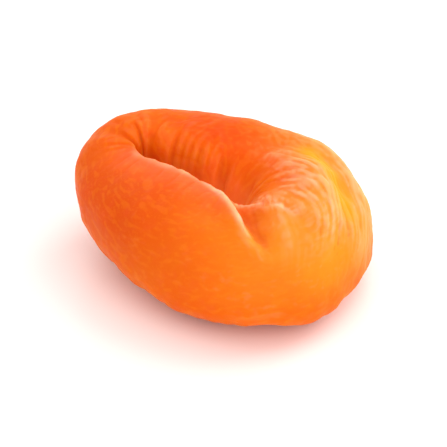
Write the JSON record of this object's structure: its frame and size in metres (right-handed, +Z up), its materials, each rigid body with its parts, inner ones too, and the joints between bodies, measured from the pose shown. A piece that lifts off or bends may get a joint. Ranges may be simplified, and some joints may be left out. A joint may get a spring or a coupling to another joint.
{
  "type": "dried apricot",
  "caption": "Whole stoned dried apricot: a plump pressed cushion of flesh with a slit-like hollow, rolled rim, pleated crease and wrinkled skin, lying with its hollow upwards.",
  "frame": {"origin": "on the surface that the fruit lies on, under the middle of its box", "axes": "+Z up, out of the hollow; +X to the right, along the fruit's longest extent; -Y towards the stalk end with its crease"},
  "size_m": [0.0374, 0.0362, 0.0166],
  "materials": {
    "apricot_flesh": "soft, slightly waxy and translucent orange skin, paler and pinkish along the folds and yellower at the thin outer rim"
  },
  "bodies": {
    "root": {"dried_apricot": "apricot_flesh"}
  },
  "joints": []
}
